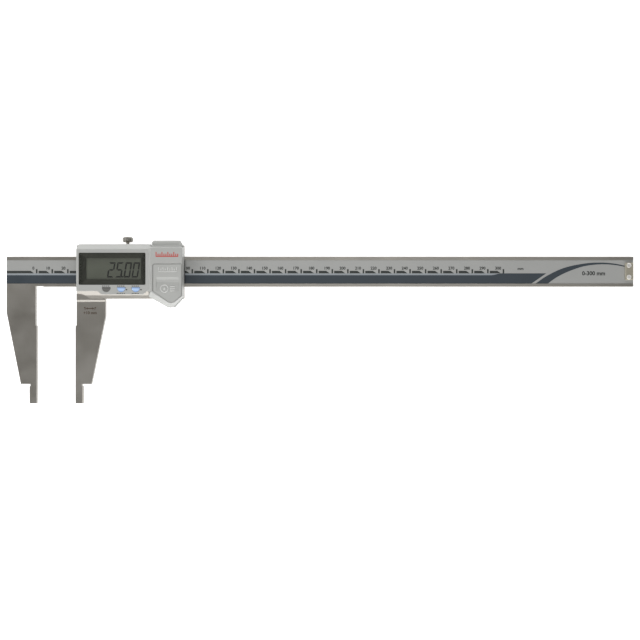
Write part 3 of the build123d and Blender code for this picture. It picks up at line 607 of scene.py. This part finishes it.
# red ruler pictogram on the panel
ruler = ruler_outlines(
    left=77.5,
    right=91.9,
    bar=(68.8, 69.4),
    pitch=1.255,
    count=12,
    width=0.6,
    foot=69.3,
    short=70.8,
    tall=71.9,
    every=3,
)
panel_print = (PANEL - SUNK, PANEL + PRINT_RISE)
slabs("panel_ruler", ruler, *panel_print, "slider", "housing_plastic", red_ink)

# raised ruler, drop in a ring, and bars moulded on the battery cover
RING_X, RING_Y = 83.1, 48.65
RING_OUTER, RING_INNER = 2.75, 2.0
DROP_POINTS, DROP_HALF_WIDTH, DROP_HALF_HEIGHT, DROP_LOWERED = 24, 0.95, 1.35, 0.1
BAR_LEFT, BAR_RIGHT, BAR_FOOT, BAR_TOP, BAR_PITCH = 86.7, 89.9, 46.7, 47.5, 1.4
SCOOP_FOOT, SCOOP_RUN, SCOOP_FALL = 46.9, 5.8, 0.0983


def scoop_floor(y):
    """How far the cover's face lies below its top in the thumb scoop."""
    return -SCOOP_FALL * min(max(y - SCOOP_FOOT, 0.0), SCOOP_RUN)


raised = bmesh.new()
embossed = {"low": PANEL - 0.05, "high": PANEL + RELIEF, "rise": flat, "slope": 0.16}
raised_ruler = ruler_outlines(
    left=79.2,
    right=91.2,
    bar=(59.1, 59.7),
    pitch=1.42,
    count=9,
    width=0.62,
    foot=60.1,
    short=61.4,
    tall=62.3,
    every=2,
)
for outline in raised_ruler:
    add_shape(raised, outline, **embossed)
embossed["rise"] = scoop_floor
add_ring(raised, (RING_X, RING_Y), RING_OUTER, RING_INNER, **embossed)
drop = []
for index in range(DROP_POINTS):
    turn = 2 * math.pi * index / DROP_POINTS
    width = DROP_HALF_WIDTH * math.sin(turn) * math.sin(turn / 2)
    height = DROP_HALF_HEIGHT * math.cos(turn)
    drop.append((RING_X + width, RING_Y - DROP_LOWERED + height))
add_shape(raised, drop, **embossed)
for index in range(3):
    lift = BAR_PITCH * index
    add_shape(raised, box(BAR_LEFT, BAR_RIGHT, BAR_FOOT + lift, BAR_TOP + lift), **embossed)
# the marks' silver is lighter than the cover's: a painted highlight for light catching the raised
# marks
painted_highlight_silver = silver_paint("painted_highlight_silver", (0.74, 0.745, 0.73), 0.2, 0.38)
finish_piece("cover_marks", raised, "battery_cover", painted_highlight_silver)


# printed marks round the buttons
def dash_row(left, right, count, width, bottom, top):
    """A row of equal dashes."""
    pitch = (right - left) / count
    starts = [left + pitch * k for k in range(count)]
    return [box(start, start + width, bottom, top) for start in starts]


DOT_Y, DOT_RADIUS = 47.9, 0.45
marks = []
for left, right in ((43.4, 48.3), (52.9, 57.9), (62.2, 67.1)):
    marks += dash_row(left, right, count=4, width=0.8, bottom=49.95, top=50.5)
for left, right in ((52.6, 58.2), (62.2, 67.2)):
    marks += dash_row(left, right, count=5, width=0.7, bottom=45.3, top=45.8)
marks += [circle(x, DOT_Y, DOT_RADIUS, count=16) for x in (58.9, 68.1)]
front_print = (FRONT - SUNK, FRONT + PRINT_RISE)
slabs("key_marks", marks, *front_print, "slider", "housing_plastic", dark_ink)

# etched note on the moving jaw: measure across the nibs and add their width
NOTE_X, NOTE_Y = 34.3, 36.0
NOTE_SHAFT, NOTE_STROKE = 1.5, 0.3
ETCH_THICK = 0.025
bracket = [(3.9, 0.9), (2.9, 0.9), (2.9, -0.8), (3.4, -0.8), (3.4, 0.2), (3.9, 0.2)]
arrow_head = [(2.7, 0.0), (1.5, -0.8), (1.5, 0.8)]
note = []
for side in (-1, 1):
    for outline in (bracket, arrow_head):
        note.append([(NOTE_X + side * x, NOTE_Y + y) for x, y in outline])
shaft_ends = (NOTE_X - NOTE_SHAFT, NOTE_X + NOTE_SHAFT)
note.append(box(*shaft_ends, NOTE_Y - NOTE_STROKE, NOTE_Y + NOTE_STROKE))
etched = (JAW - SUNK, JAW - SUNK + ETCH_THICK)
slabs("jaw_note", note, *etched, "slider", "ground_steel", brown_etch)
offset_note = [("+10 mm", 34.4, 32.4, 2.55, "CENTER")]
lettering("jaw_offset", offset_note, JAW - SUNK, ETCH_THICK, "slider", brown_etch)

# ---- camera -------------------------------------------------------------------------------
EYE = (0.1821, 0.0286, 1.0022)
camera_data = bpy.data.cameras.new("camera")
camera_data.sensor_width = 36.0
camera_data.lens = 87.5
camera_data.clip_start = 0.05
camera_data.clip_end = 20.0
camera = bpy.data.objects.new("camera", camera_data)
camera.location = EYE
bpy.context.scene.collection.objects.link(camera)
bpy.context.scene.camera = camera

# ---- studio -------------------------------------------------------------------------------
scene = bpy.context.scene
scene.view_settings.view_transform = "Standard"
world = bpy.data.worlds.new("studio")
scene.world = world
world.use_nodes = True
sky = world.node_tree.nodes["Background"]
sky.inputs["Color"].default_value = (1.0, 0.99, 0.97, 1.0)
sky.inputs["Strength"].default_value = 0.18

FLOOR_REACH = 6.0
FLOOR_GAP = 0.0002
floor_mesh = bmesh.new()
floor_z = cad_box[0].z - FLOOR_GAP
corners = box(-FLOOR_REACH, FLOOR_REACH, -FLOOR_REACH, FLOOR_REACH)
floor_mesh.faces.new([floor_mesh.verts.new((x, y, floor_z)) for x, y in corners])
floor_data = bpy.data.meshes.new("floor")
floor_mesh.to_mesh(floor_data)
floor_mesh.free()
floor = bpy.data.objects.new("floor", floor_data)
scene.collection.objects.link(floor)
floor_finish = mottled("floor_paper", (0.85, 0.85, 0.85), 2.0, 0.01, rough=(0.8, 0.9))
floor_shader = floor_finish.node_tree.nodes["Principled BSDF"]
floor_shader.inputs["Emission Color"].default_value = (1, 1, 1, 1)
floor_shader.inputs["Emission Strength"].default_value = 0.75
floor_data.materials.append(floor_finish)


def softbox(name, place, aim, width, height, power):
    """A rectangular area light pointed at a place; metres and watts."""
    light_data = bpy.data.lights.new(name, "AREA")
    light_data.shape = "RECTANGLE"
    light_data.size = width
    light_data.size_y = height
    light_data.energy = power
    light = bpy.data.objects.new(name, light_data)
    light.location = place
    light.rotation_euler = (Vector(aim) - Vector(place)).to_track_quat("-Z", "Y").to_euler()
    scene.collection.objects.link(light)


middle = (0.18, 0.03, 0.0)
softbox("near_softbox", (0.14, -0.68, 0.60), middle, 1.5, 0.8, 8.4)
softbox("far_softbox", (0.18, 0.95, 0.55), middle, 1.6, 0.5, 5.0)
softbox("left_softbox", (-0.85, 0.03, 0.75), middle, 0.7, 0.5, 4.0)
softbox("top_softbox", (0.24, 0.05, 1.5), (0.2, 0.05, 0.0), 0.3, 0.5, 0.9)
